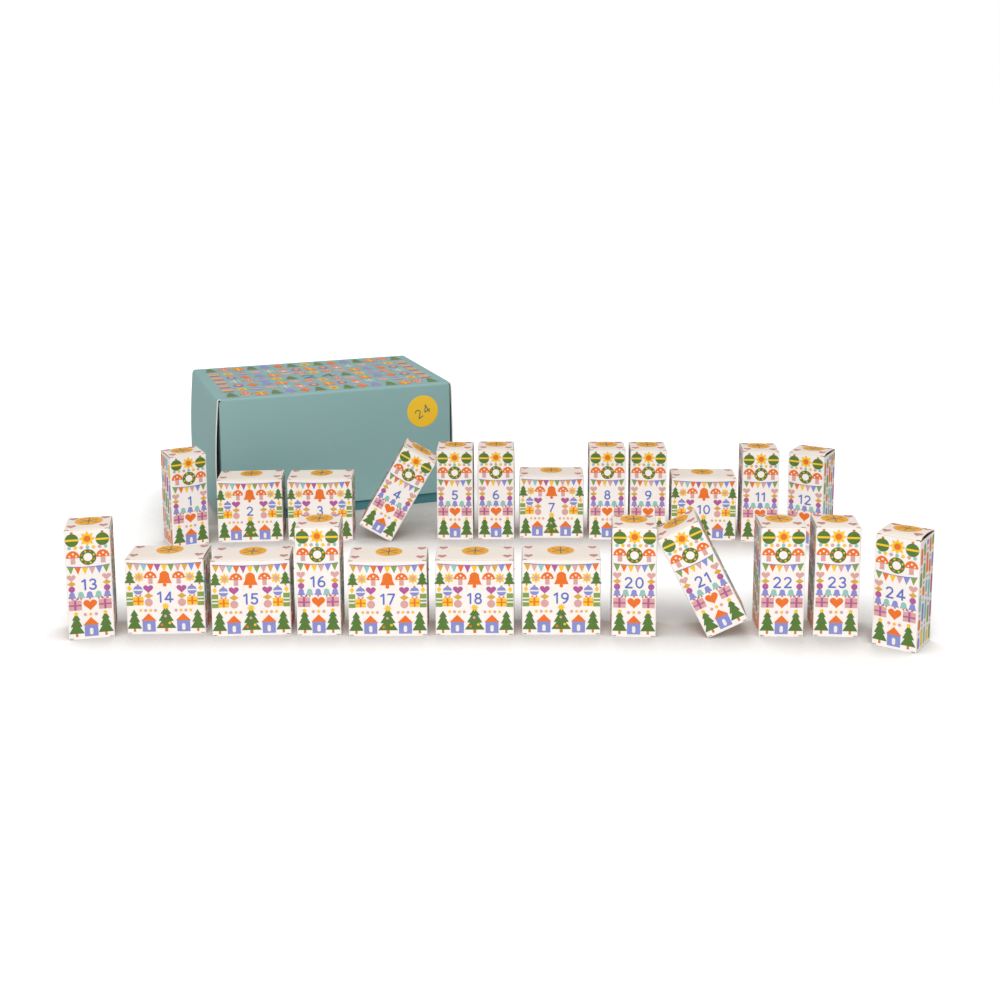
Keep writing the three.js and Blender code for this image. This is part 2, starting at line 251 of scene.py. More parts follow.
inks = {name: ink(name, colour) for name, colour in INKS.items()}
ink_order, ink_finishes = list(inks), list(inks.values())
print("inks:", len(inks))

# %% [markdown]
# ## Flat motifs
# The print is made of simple cut-paper shapes. Each one is an outline in millimetres on a
# flat panel. Curves drawn by hand in an editor would do as well, but functions let one
# fir stand on every carton. A motif is a list of (ink, layer, outline), and a higher layer
# lies a hair's breadth further out, so that two shapes never share one plane.

# %% Outlines
def arc(x, y, rx, ry, start, end, steps):
    angles = [math.radians(start + (end - start) * i / steps) for i in range(steps + 1)]
    return [(x + rx * math.cos(a), y + ry * math.sin(a)) for a in angles]


def disc(colour, x, y, r, layer=0):
    return [(colour, layer, arc(x, y, r, r, 0, 360, 22)[:-1])]


def slab(colour, x, y, w, h, layer=0):
    """A square-cut strip, standing on y."""
    left, right = x - w / 2, x + w / 2
    return [(colour, layer, [(left, y), (right, y), (right, y + h), (left, y + h)])]


def bar(colour, x, y, w, h, layer=0):
    """A strip with round ends, standing on y."""
    r = w / 2
    outline = arc(x, y + h - r, r, r, 0, 180, 9) + arc(x, y + r, r, r, 180, 360, 9)
    return [(colour, layer, outline)]


def diamond(colour, x, y, w, h):
    return [(colour, 0, [(x, y - h / 2), (x + w / 2, y), (x, y + h / 2), (x - w / 2, y)])]


def star(colour, x, y, r, waist, layer=0):
    """A star of eight points. Its waist is how far in the dips between them lie."""
    tips = arc(x, y, r, r, 90, 450, 16)[:-1]
    dips = arc(x, y, r * waist, r * waist, 90, 450, 16)
    return [(colour, layer, [dips[i] if i % 2 else tip for i, tip in enumerate(tips)])]


def heart(colour, x, y, w, h):
    out = []
    for i in range(26):
        a = 2 * math.pi * i / 26
        u = math.sin(a) ** 3
        v = 13 * math.cos(a) - 5 * math.cos(2 * a) - 2 * math.cos(3 * a) - math.cos(4 * a)
        out.append((x - u * w / 2, y + (v / 16 + 0.12) * h / 2))
    return [(colour, 0, out)]


print("corners of a round motif:", len(disc("pink", 0, 0, 1)[0][2]))


# %% Firs, parcels, houses, baubles and bells
def fir(colour, x, y, w, h):
    """A fir that stands on y: a trunk and tiers that step in towards the top."""
    tiers = 3
    trunk = 0.14 * h
    body = h - trunk
    right = []
    for i in range(tiers):
        low = trunk + body * i / tiers
        high = trunk + body * (i + 1) / tiers
        wide = w / 2 * (1 - 0.72 * i / tiers)
        narrow = w / 2 * (1 - 0.72 * (i + 1) / tiers) * 0.62
        right += [(wide, low), (wide * 0.94, low + body * 0.05)]
        right += [(narrow, high)] if i < tiers - 1 else []
    outline = [(x + a, y + b) for a, b in right] + [(x, y + h)]
    outline += [(x - a, y + b) for a, b in reversed(right)]
    return slab("rust", x, y, w * 0.16, trunk + 0.2, -1) + [(colour, 0, outline)]


def gift(paper, ribbon, x, y, w, h):
    """A parcel that stands on y, with a crossed ribbon and a bow."""
    shapes = slab(paper, x, y, w, h)
    shapes += slab(ribbon, x, y, w * 0.17, h, 1)
    shapes += slab(ribbon, x, y + h * 0.42, w, h * 0.15, 2)
    for side in (-1, 1):
        loop = [(x, y + h), (x + side * w * 0.3, y + h + w * 0.08),
                (x + side * w * 0.26, y + h + w * 0.3)]
        shapes.append((ribbon, 0, loop if side > 0 else loop[::-1]))
    return shapes


def house(wall, roof, x, y, w, h):
    shapes = slab(wall, x, y, w, h * 0.62)
    gable = [(x - w * 0.58, y + h * 0.6), (x + w * 0.58, y + h * 0.6), (x, y + h)]
    shapes.append((roof, 1, gable))
    shapes += bar("cream", x, y + h * 0.08, w * 0.26, h * 0.36, 1)
    return shapes


def bauble(colour, band, x, y, r):
    shapes = disc(colour, x, y, r)
    shapes += slab(band, x, y - r * 0.16, r * 1.9, r * 0.32, 1)
    return shapes + slab("rust", x, y + r * 0.95, r * 0.4, r * 0.34, -1)


def pennant(colour, x, y, w, h):
    return [(colour, 0, [(x - w / 2, y), (x, y - h), (x + w / 2, y)])]


def bell(colour, x, y, w, h):
    """A bell that hangs from y."""
    side = [(0.12, 0.0), (0.3, 0.14), (0.36, 0.5), (0.5, 0.8)]
    outline = [(x - a * w, y - b * h) for a, b in side]
    outline += [(x + a * w, y - b * h) for a, b in reversed(side)]
    return [(colour, 0, outline)] + disc("orange", x, y - h * 0.9, w * 0.13)


print("shapes in a house:", len(house("blue", "orange", 0, 0, 10, 15)))

# %% [markdown]
# ## Pen strokes
# The day numbers have thin, even strokes with round ends. A text object could set them in
# a font, but its letters are heavier and squarer. Each digit here is a few pen lines, and
# the pen's outline is worked out from each line. Lines that meet at a sharp corner are
# strokes of their own, and their round ends cover each other as a felt pen's do.

# %% Pen strokes
def stroke(colour, points, width, layer):
    """A pen line through the points, as one outline with round ends."""
    half = width / 2
    points = [Vector(p) for p in points]
    pairs = zip(points[:1] + points, points[1:] + points[-1:])
    ways = [(after - before).normalized() for before, after in pairs]
    side = [Vector((-w.y, w.x)) * half for w in ways]
    left = [tuple(p + s) for p, s in zip(points, side)]
    right = [tuple(p - s) for p, s in zip(points, side)]

    def cap(point, way, sign):
        middle = math.degrees(math.atan2(way.y, way.x)) + (0 if sign > 0 else 180)
        return arc(*point, half, half, middle - 72, middle + 72, 6)

    outline = right + cap(points[-1], ways[-1], 1)
    outline += left[::-1] + cap(points[0], ways[0], -1)
    return [(colour, layer, outline)]


def ring(colour, x, y, rx, ry, width, layer=0):
    """A closed pen line, as a band of four-sided faces."""
    half, sides = width / 2, 28
    outer = arc(x, y, rx + half, ry + half, 0, 360, sides)
    inner = arc(x, y, rx - half, ry - half, 0, 360, sides)
    return [(colour, layer, [outer[i], outer[i + 1], inner[i + 1], inner[i]])
            for i in range(sides)]


print("faces of a ring:", len(ring("number", 0, 0, 1, 1, 0.1)))

# %% Digits
# Each digit is one unit high: its width, its open lines and its closed loops.
TOP, FOOT = 0.935, 0.065
DIGIT_GAP = 0.2
DIGITS = {
    "0": (0.62, [], [(0.31, 0.5, 0.25, 0.435)]),
    "1": (0.34, [[(0.05, 0.78), (0.25, TOP)], [(0.25, TOP), (0.25, FOOT)]], []),
    "2": (0.6, [arc(0.28, 0.69, 0.225, 0.245, 160, -40, 14) + [(0.07, FOOT)],
                [(0.07, FOOT), (0.54, FOOT)]], []),
    "3": (0.56, [arc(0.26, 0.715, 0.2, 0.22, 150, -90, 14),
                 arc(0.26, 0.28, 0.235, 0.215, 90, -150, 14)], []),
    "4": (0.66, [[(0.44, TOP), (0.06, 0.29)], [(0.06, 0.29), (0.62, 0.29)],
                 [(0.44, TOP), (0.44, FOOT)]], []),
    "5": (0.58, [[(0.5, TOP), (0.14, TOP)], [(0.14, TOP), (0.11, 0.55)],
                 arc(0.27, 0.33, 0.24, 0.265, 132, -145, 16)], []),
    "6": (0.6, [arc(0.5, 0.35, 0.435, 0.6, 180, 103, 8)], [(0.3, 0.31, 0.235, 0.245)]),
    "7": (0.56, [[(0.05, TOP), (0.52, TOP)], [(0.52, TOP), (0.19, FOOT)]], []),
    "8": (0.58, [], [(0.29, 0.735, 0.185, 0.2), (0.29, 0.295, 0.225, 0.23)]),
    "9": (0.6, [arc(0.1, 0.65, 0.435, 0.6, 0, -77, 8)], [(0.3, 0.69, 0.235, 0.245)]),
}


def number(text, x, y, height, colour="number", width=1.4, tilt=0.0, wide=1.14):
    """Digits centred on (x, y), turned together by tilt degrees."""
    total = sum(DIGITS[c][0] for c in text) + DIGIT_GAP * (len(text) - 1)
    spin = Matrix.Rotation(math.radians(tilt), 2)
    pen = -total / 2
    shapes = []
    for c in text:
        breadth, lines, loops = DIGITS[c]
        raw = []
        for level, line in enumerate(lines):
            points = [((px + pen) * height * wide, (py - 0.5) * height) for px, py in line]
            raw += stroke(colour, points, width, level)
        for level, (lx, ly, rx, ry) in enumerate(loops, len(lines)):
            raw += ring(colour, (lx + pen) * height * wide, (ly - 0.5) * height,
                        rx * height * wide, ry * height, width, level)
        for name, layer, outline in raw:
            turned = [spin @ Vector(p) for p in outline]
            shapes.append((name, layer, [(x + p.x, y + p.y) for p in turned]))
        pen += breadth + DIGIT_GAP
    return shapes


print("digits:", "".join(DIGITS))

# %% [markdown]
# ## More motifs
# A few motifs need pen lines: a snowflake, a wreath and a string of bunting. The rest are
# built from the outlines above, with small shapes in cream on top to liven them up.

# %% Motifs with pen lines
STRING_WIDTH = 0.5


def snowflake(colour, x, y, r, weight=0.26):
    tips = arc(x, y, r, r, 90, 450, 6)[:-1]
    shapes = []
    for i in range(3):
        shapes += stroke(colour, [tips[i + 3], tips[i]], r * weight, i)
    for tip in tips:
        shapes += disc(colour, *tip, r * weight * 0.85, layer=3)
    return shapes


def wreath(x, y, r):
    shapes = ring("deep_green", x, y, r, r, r * 0.62)
    for i, berry in enumerate(arc(x, y, r, r, 22.5, 382.5, 8)[:-1]):
        shapes += disc("orange" if i % 2 else "yellow", *berry, r * 0.16, layer=1)
    return shapes


def toadstool(cap, x, y, w, h):
    """A toadstool that stands on y: a pink stem and a round cap with cream spots."""
    shapes = slab("pink", x, y, w * 0.34, h * 0.56)
    shapes.append((cap, 1, arc(x, y + h * 0.46, w / 2, h * 0.54, 0, 180, 14)))
    for dx, dy, r in ((-0.24, 0.6, 0.07), (0.02, 0.76, 0.08), (0.25, 0.58, 0.07)):
        shapes += disc("cream", x + dx * w, y + dy * h, r * w, layer=2)
    return shapes


def candle(colour, x, y, w, h):
    shapes = slab(colour, x, y, w, h * 0.66)
    shapes += slab("cream", x, y + h * 0.2, w, h * 0.07, 1)
    shapes += slab("cream", x, y + h * 0.36, w, h * 0.07, 1)
    return shapes + diamond("yellow", x, y + h * 0.85, w * 0.72, h * 0.3)


def bunting(names, y, half, dip, w, h):
    """Pennants along a string that hangs between two points."""
    colours = names.split()
    count = len(colours)
    steps = [i / 10 - 1 for i in range(21)]
    line = [(half * t, y - dip * (1 - t * t)) for t in steps]
    shapes = stroke("number", line, STRING_WIDTH, 1)
    for i, colour in enumerate(colours):
        t = (2 * i + 1) / count - 1
        shapes += pennant(colour, half * t, y - dip * (1 - t * t), w, h)
    return shapes


def in_row(make, names, y, first, pitch, *sizes):
    shapes = []
    for i, colour in enumerate(names.split()):
        shapes += make(colour, first + pitch * i, y, *sizes)
    return shapes


def spot(colour, x, y, r):
    """A disc that lies on another motif."""
    return disc(colour, x, y, r, layer=1)


def drawn(rows):
    """Motifs from rows of function, inks, x, y and sizes. One off the middle comes twice."""
    shapes = []
    for make, names, x, y, *sizes in rows:
        for place in (-x, x) if x else (0,):
            shapes += make(*names.split(), place, y, *sizes)
    return shapes


print("shapes in a wreath:", len(wreath(0, 0, 5)))

# %% [markdown]
# ## The carton prints
# A tall carton and a wide one carry two prints of one family: a little village below, a
# clear window for the day in the middle and a festive sky above. The motifs are common
# winter ones, drawn large and close, so that about half of the panel is inked. Each row
# below is a function, its inks, the millimetres across from the panel's middle and up from
# its foot, and the motif's sizes. The outer columns come twice, so one row places both.

# %% Prints for the front and back
DAY_HEIGHT = 9.2


def day_window(day, y):
    """The day's number, or a snowflake of the same height on the back wall."""
    if day:
        return number(str(day), 0, y, DAY_HEIGHT)
    return snowflake("number", 0, y, DAY_HEIGHT / 2)


def tall_front(day):
    shapes = drawn([
        (house, "blue orange", 0, 2.4, 10.4, 15.8), (fir, "deep_green", 11.2, 2.4, 11.6, 19.4),
        (spot, "yellow", 11.2, 21.4, 1.5), (gift, "pink magenta", 11.4, 24.4, 9.8, 8.0),
        (heart, "orange", 0, 28.2, 10.6, 10.0), (disc, "magenta", 13.4, 41.8, 2.5),
        (diamond, "gold", 13.4, 46.2, 6.6, 4.4), (heart, "pink", 13.4, 50.8, 6.8, 6.4),
        (toadstool, "orange", 11.4, 62.4, 10.4, 10.8), (star, "yellow", 0, 82.6, 6.4, 0.6),
        (spot, "orange", 0, 82.6, 2.6), (bauble, "deep_green yellow", 11.6, 81.8, 5.2)])
    shapes += in_row(disc, "pink yellow pink", 20.6, -4.2, 4.2, 1.3)
    shapes += in_row(bell, "blue teal blue teal blue", 39.4, -13.4, 6.7, 6.2, 6.4)
    dots = "teal yellow pink teal yellow pink teal"
    shapes += in_row(disc, dots, 75.6, -13.8, 4.6, 1.4) + wreath(0, 67.6, 4.9)
    shapes += bunting("green orange yellow pink blue green", 60.8, 16.2, 1.2, 5.3, 6.2)
    return shapes + day_window(day, 45.2)


def wide_front(day):
    shapes = drawn([
        (fir, "deep_green", 0, 2.2, 15.6, 20.8), (star, "yellow", 0, 23.4, 3.4, 0.5, 1),
        (house, "blue orange", 13.8, 2.2, 10.4, 15.4), (disc, "pink", 13.2, 26.6, 3.2),
        (diamond, "gold", 13.2, 32.2, 7.4, 4.6), (heart, "magenta", 13.2, 37.8, 8.0, 7.4),
        (fir, "deep_green", 25.2, 2.2, 11.4, 18.6), (candle, "green", 28.2, 24.0, 5.2, 17.0),
        (bauble, "blue cream", 21.4, 37.0, 3.7), (gift, "yellow orange", 21.4, 24.4, 8.2, 6.8),
        (bell, "orange", 0, 52.6, 11.6, 12.6), (toadstool, "orange", 11.2, 42.2, 10.2, 10.2),
        (star, "yellow", 20.2, 47.8, 4.6, 0.6), (spot, "pink", 20.2, 47.8, 1.9),
        (fir, "deep_green", 27.6, 41.2, 9.0, 12.0)])
    for x, y, colour in ((-3.4, 7.8, "orange"), (2.8, 9.4, "yellow"), (-0.4, 15.2, "pink")):
        shapes += spot(colour, x, y, 1.1)
    for side in (-1, 1):
        shapes += in_row(disc, "pink yellow pink yellow", 20, side * 8.2, side * 3.9, 1.2)
    flags = "gold pink teal orange magenta yellow green pink gold blue orange"
    shapes += bunting(flags, 59.6, 29.6, 1.2, 5.4, 6.2)
    return shapes + day_window(day, 31.0)


print("shapes on days 1 and 2:", len(tall_front(1)), len(wide_front(2)))

# %% Prints for the sides and the top
STRIP_XS = (-13.2, -6.6, 0.0, 6.6, 13.2)
STRIP_WIDTH = 4.6
STRIP_LENGTHS = (8.0, 17.0)
STRIP_MARGIN = 2.6  # bare board above and below the strips
STRIP_GAP = 1.4
STRIP_INKS = "orange blue pink teal yellow magenta green orange".split()
DIAMOND_INKS = "yellow pink sky".split()
SEAL_PLACE, SEAL_RADIUS = 21.0, 10.9


def side_wall(height, seed):
    """Columns of round-ended strips of mixed lengths, with a diamond in each gap."""
    draw = random.Random(seed)
    shapes = []
    for x in STRIP_XS:
        y = STRIP_MARGIN
        while y < height - 7.0:
            length = min(draw.uniform(*STRIP_LENGTHS), height - STRIP_MARGIN - y)
            shapes += bar(draw.choice(STRIP_INKS), x, y, STRIP_WIDTH, length)
            y += length + STRIP_GAP
            if y < height - 8.0:
                colour = draw.choice(DIAMOND_INKS)
                shapes += diamond(colour, x, y + STRIP_GAP, 4.0, 3.4)
                y += 4.2
    return shapes


def top_print(width):
    """A round seal with a snowflake, and a heart near each corner. The front is at 0."""
    shapes = disc("seal", 0, SEAL_PLACE, SEAL_RADIUS)
    flake = snowflake("slate", 0, SEAL_PLACE, 7.0, 0.12)
    shapes += [(colour, layer + 1, outline) for colour, layer, outline in flake]
    for y in (7.2, 28.6):
        shapes += drawn([(heart, "rose", width / 2 - 5.2, y, 7.2, 7.8)])
    return shapes


print("shapes on a tall side:", len(side_wall(90.0, 1)))

# %% [markdown]
# ## Folding a carton
# A real carton is one sheet of board, creased and glued. A box mesh with a bevel would look
# like a wooden block. So each wall is a thin skin that runs round soft folds and bellies a
# little, and a Solidify modifier gives it the board's thickness, with its own finish on the
# inside and on the cut edge. The lid is a second skin from the rear crease to the tuck flap.

# %% Skins of board
class Skin:
    """Gathers faces in millimetres, each with the number of its finish."""

    def __init__(self):
        self.points = []
        self.faces = []
        self.slots = []

    def face(self, corners, slot=0):
        first = len(self.points)
        self.points += [tuple(p) for p in corners]
        self.faces.append(tuple(range(first, first + len(corners))))
        self.slots.append(slot)

    def grid(self, rows, closed=False, skip=lambda row, column: False):
        first = len(self.points)
        across = len(rows[0])
        for row in rows:
            self.points += [tuple(p) for p in row]
        for i in range(len(rows) - 1):
            for j in range(across if closed else across - 1):
                if skip(i, j):
                    continue
                k = (j + 1) % across
                a, b = first + i * across, first + (i + 1) * across
                self.faces.append((a + j, a + k, b + k, b + j))
                self.slots.append(0)


# %% Pieces from skins
INSIDE_SLOT, EDGE_SLOT = 1, 2  # places of the inside and edge finishes in a board's list
SPLIT_ANGLE = 50
WELD_REACH = 0.00003


def add_piece(name, skin, place, body, materials):
    """One object from a skin. Its corners go to the row frame, so it needs no transform."""
    mesh = bpy.data.meshes.new(name)
    mesh.from_pydata([place @ (Vector(p) * MM) for p in skin.points], [], skin.faces)
    mesh.polygons.foreach_set("material_index", skin.slots)
    for material in materials:
        mesh.materials.append(material)
    mesh.update()
    piece = bpy.data.objects.new(name, mesh)
    bpy.context.scene.collection.objects.link(piece)
    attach(piece, body)
    return piece


def weld(piece, middle=None):
    """Joins grids along their shared folds. Faces turn away from the middle, if given."""
    mesh = bmesh.new()
    mesh.from_mesh(piece.data)
    bmesh.ops.delete(mesh, geom=[v for v in mesh.verts if not v.link_faces], context="VERTS")
    if middle is not None:
        for face in mesh.faces:
            face.normal_update()
            if face.normal.dot(face.calc_center_median() - middle) < 0:
                face.normal_flip()
    bmesh.ops.remove_doubles(mesh, verts=mesh.verts, dist=WELD_REACH)
    if middle is None:
        bmesh.ops.recalc_face_normals(mesh, faces=mesh.faces)
    mesh.to_mesh(piece.data)
    mesh.free()
    piece.data.update()


def thicken(piece, thickness):
    """Board thickness behind the skin, and crisp cut edges."""
    piece.data.polygons.foreach_set("use_smooth", [True] * len(piece.data.polygons))
    solid = piece.modifiers.new("board", "SOLIDIFY")
    solid.thickness = thickness * MM
    solid.offset = -1
    solid.material_offset = INSIDE_SLOT
    solid.material_offset_rim = EDGE_SLOT
    split = piece.modifiers.new("cut_edges", "EDGE_SPLIT")
    split.split_angle = math.radians(SPLIT_ANGLE)


# %% Prints on panels that bend
BAND = 2.0
PRINT_LIFT, LAYER_STEP = 0.07, 0.035


def cut_at(outline, v, sign):
    """The part of an outline that lies above the line at v, or below it with sign -1."""
    kept = []
    for (u0, v0), (u1, v1) in zip(outline, outline[1:] + outline[:1]):
        inside, next_inside = (v0 - v) * sign >= 0, (v1 - v) * sign >= 0
        if inside:
            kept.append((u0, v0))
        if inside != next_inside:
            share = (v - v0) / (v1 - v0)
            kept.append((u0 + (u1 - u0) * share, v))
    return kept


def in_bands(shapes):
    """The same print in narrow bands, which can follow a panel that bends along v."""
    banded = []
    for colour, layer, outline in shapes:
        low = math.floor(min(v for _, v in outline) / BAND)
        high = math.ceil(max(v for _, v in outline) / BAND)
        for i in range(low, high):
            band = cut_at(cut_at(outline, i * BAND, 1), (i + 1) * BAND, -1)
            if len(band) > 2:
                banded.append((colour, layer, band))
    return banded


def print_on(shapes, skin, place_on, base=PRINT_LIFT):
    """Lays a print's outlines on a panel that place_on(u, v, lift) describes."""
    for colour, layer, outline in shapes:
        lift = base + LAYER_STEP * (layer + 1)
        skin.face([place_on(u, v, lift) for u, v in outline], ink_order.index(colour))


print("bands of a top print:", len(in_bands(top_print(35.0))))

# %% Where a carton's panels lie
CARTON_DEPTH = 35.0
HINGE_DROP = 0.75  # the rear crease's axis lies this far under the lid's face
LID_REACH = 33.2  # from the rear crease's axis to the front fold's
SIZES = {"tall": (35.0, 90.0), "wide": (62.5, 62.5)}
WIDE_DAYS = {2, 3, 7, 10, 14, 15, 17, 18, 19}
LIFTED = {24: 2.3, 12: 1.7, 22: 0.7, 14: 0.6}  # lids that spring up at the rear right
BELLIES = ((0.1, 0.5), (0.1, 0.6), (0.0, 0.4), (0.1, 0.6))  # how far each wall may swell


class Carton:
    """One carton's sizes, its small sags and bulges, and where each of its panels lies."""

    def __init__(self, day):
        self.kind = "wide" if day in WIDE_DAYS else "tall"
        self.width, self.height = SIZES[self.kind]
        draw = random.Random(100 + day)
        self.belly = [draw.uniform(*swell) for swell in BELLIES]
        self.spring = LIFTED.get(day, draw.uniform(0.1, 0.45))
        self.side = 1 if day in LIFTED else draw.choice((-1, 1))
        hinge = next(j for j in frame["joints"] if j["name"] == f"carton_{day:02d}_lid_hinge")
        across = -Vector(hinge["axis"])
        back = Vector((0, 0, 1)).cross(across).normalized()
        turn = Matrix((across, back, across.cross(back))).transposed().to_4x4()
        self.crease = Matrix.Translation(Vector(hinge["pos_m"])) @ turn
        foot = Vector((0, -CARTON_DEPTH, HINGE_DROP - self.height)) * MM
        self.foot = self.crease @ Matrix.Translation(foot)

    def panels(self):
        """Middle of each panel on the plan, the way along it, its outward way, its width."""
        half = self.width / 2
        mid = CARTON_DEPTH / 2
        return [((0, 0), (1, 0), (0, -1), self.width),
                ((half, mid), (0, 1), (1, 0), CARTON_DEPTH),
                ((0, CARTON_DEPTH), (-1, 0), (0, 1), self.width),
                ((-half, mid), (0, -1), (-1, 0), CARTON_DEPTH)]

    def on_wall(self, index):
        (x, y), (ax, ay), (nx, ny), width = self.panels()[index]
        swell = self.belly[index]

        def place_on(u, v, lift):
            upright = 1 - 0.85 * (2 * v / self.height - 1) ** 4
            out = lift + swell * (1 - (2 * u / width) ** 2) * upright
            return (x + ax * u + nx * out, y + ay * u + ny * out, v)

        return place_on

    def on_lid(self):
        def place_on(u, v, lift):
            """v runs from the front fold to the rear crease."""
            back = max(0.0, min(1.0, 1 - v / LID_REACH))
            bulge = 2.6 * math.sqrt(max(1 - back, 0.0)) * back
            weight = 0.3 + 0.7 * (0.5 + self.side * u / self.width)
            rise = self.spring * bulge * weight * (1 if v >= 0 else 0)
            return (u, v - LID_REACH, HINGE_DROP + rise + lift)

        return place_on


print("spring of the lids:", [round(Carton(day).spring, 1) for day in range(1, 25)])

# %% Walls, bottom and dust flaps
BOARD = 0.6
WALL_FOLD = 0.75  # outer radius of the folds between the walls


def wall_skin(carton):
    """The four walls round soft folds, with the bottom's slots cut at the front corners."""
    skin = Skin()
    r = WALL_FOLD
    rows = []
    top_drop = BOARD + 0.3
    levels = [0.0, 0.3, 0.75, 1.35] + [carton.height * t / 9 for t in range(1, 9)] + [None]
    slot_row, slot_columns = 2, {0, 7}  # at both ends of the front wall
    columns = []
    for index, (_, _, _, width) in enumerate(carton.panels()):
        flat = width / 2 - r
        for u in (-flat, 3.0 - flat, -flat * 0.55, -flat * 0.25, 0, flat * 0.25, flat * 0.55,
                  flat - 3.0, flat):
            columns.append((index, u, 0.0))
        for turn in (22.5, 45.0, 67.5):
            columns.append((index, flat, turn))
    for level in levels:
        row = []
        for index, u, turn in columns:
            (x, y), (ax, ay), (nx, ny), _ = carton.panels()[index]
            v = level
            if v is None:
                v = carton.height - (0.25 if index == 0 and turn == 0 else top_drop)
            inset = 0.3 if level == 0.0 else 0.0
            if turn:
                a = math.radians(turn)
                reach = r - inset
                cx, cy = x + ax * u - nx * r, y + ay * u - ny * r
                row.append((cx + (nx * math.cos(a) + ax * math.sin(a)) * reach,
                            cy + (ny * math.cos(a) + ay * math.sin(a)) * reach, v))
            else:
                row.append(carton.on_wall(index)(u, v, -inset))
        rows.append(row)
    skin.grid(rows, closed=True, skip=lambda i, j: i == slot_row and j in slot_columns)
    near, lift = 0.95, 0.08  # the bottom panel lies inside the walls' folds
    half, far = carton.width / 2 - near, CARTON_DEPTH - near
    skin.face([(-half, near, lift), (-half, far, lift), (half, far, lift), (half, near, lift)])
    return skin


def add_flaps(skin, carton):
    """Two dust flaps that hang in from the side walls, and the glued seam inside."""
    flap, droop = 13.0, math.radians(60)
    for side in (-1, 1):
        rows = []
        for reach in (0.0, 1.5, 5.0, 9.0, flap):
            x = side * (carton.width / 2 - BOARD - 0.06 - reach * math.cos(droop))
            z = carton.height - BOARD - 0.36 - reach * math.sin(droop)
            near = 2.1 + 4.0 * reach / flap
            far = CARTON_DEPTH - near
            row = [(x, near + (far - near) * t / 4, z) for t in range(5)]
            rows.append(row if side > 0 else row[::-1])
        skin.grid(rows)
    x = BOARD * 1.55 - carton.width / 2
    low, high = 5.0, carton.height - 5.0
    seam, rim = 34.3, 24.4
    skin.face([(x, seam, low - 4), (x, seam, high + 3), (x, rim, high), (x, rim, low)])


print("faces of a carton's walls:", len(wall_skin(Carton(1)).faces))

# %% Lid and tuck flap
LID_FOLD, LID_FOLD_DROP = 0.9, 0.15
TUCK_START = (-34.09, -0.29)  # where the front fold ends and the tuck flap goes down


def lid_skin(carton):
    """From the rear crease over the top and round the front fold, down the tuck flap."""
    skin = Skin()
    place = carton.on_lid()
    half = carton.width / 2 - 0.4
    slit = 3.4  # the slit locks' length at both ends of the front fold
    xs = [-half, slit - half, -half * 0.5, -half * 0.2, 0, half * 0.2, half * 0.5,
          half - slit, half]
    rows = []
    for a in (2, 30, 60):
        turn = math.radians(a)
        rows.append([(x, -HINGE_DROP * (1 - math.cos(turn)), HINGE_DROP * math.sin(turn))
                     for x in xs])
    for t in range(11):
        v = 32.45 * (1 - t / 10)
        rows.append([place(x, v, 0.0) for x in xs])
    fold_first = len(rows) - 1
    for a in (120, 150, 189):
        turn = math.radians(a)
        y = -LID_REACH + LID_FOLD * math.cos(turn)
        z = -LID_FOLD_DROP + LID_FOLD * math.sin(turn)
        rows.append([(x, y, z) for x in xs])
    fold_last = len(rows) - 1
    lean = math.radians(9)
    tuck = carton.width / 2 - BOARD - 0.3
    for s, draw_in in ((1.5, 0.5), (5.0, 1.6), (7.4, 2.4), (8.5, 3.4), (9.1, 5.4)):
        y = TUCK_START[0] + s * math.sin(lean)
        z = TUCK_START[1] - s * math.cos(lean)
        narrow = (tuck - draw_in) / half
        rows.append([(x * narrow, y, z) for x in xs])
    last = len(xs) - 2
    skin.grid(rows, skip=lambda i, j: fold_first <= i < fold_last and j in (0, last))
    skin.faces = [f[::-1] for f in skin.faces]
    return skin


print("faces of a lid:", len(lid_skin(Carton(1)).faces))


# %% Make the 24 cartons
def make_carton(day):
    carton = Carton(day)
    label = f"carton_{day:02d}"
    walls = wall_skin(carton)
    add_flaps(walls, carton)
    body = add_piece(label + "_walls", walls, carton.foot, label,
                     [carton_board, board_inside, board_edge])
    thicken(body, BOARD)
    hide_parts(label + "_body")
    lid = add_piece(label + "_top", lid_skin(carton), carton.crease, label + "_lid",
                    [carton_top_painted_shade, board_inside, board_edge])
    thicken(lid, BOARD)
    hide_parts(label + "_lid")

    prints = Skin()
    front = tall_front if carton.kind == "tall" else wide_front
    for index, shown in ((0, day), (2, 0)):
        print_on(front(shown), prints, carton.on_wall(index))
    for index in (1, 3):
        print_on(side_wall(carton.height, index), prints, carton.on_wall(index))
    add_piece(label + "_print", prints, carton.foot, label, ink_finishes)

    top = Skin()
    print_on(in_bands(top_print(carton.width)), top, carton.on_lid())
    add_piece(label + "_top_print", top, carton.crease, label + "_lid", ink_finishes)
    return len(prints.faces) + len(top.faces)


total = sum(make_carton(day) for day in range(1, 25))
print("print faces on the cartons:", total)

# %% [markdown]
# ## The storage box
# The storage box is a deep lid over a tray. The lid's top, front and back are one folded
# sheet. Its two end walls hang from the top alone, so they belly out and show a white raw
# edge and a dark gap at the corner, where a tab is folded in behind them. A bevelled block
# would close that corner. Here each panel is a grid of the same skin kind as the cartons,
# the grids are welded along their folds, and Solidify makes the board.

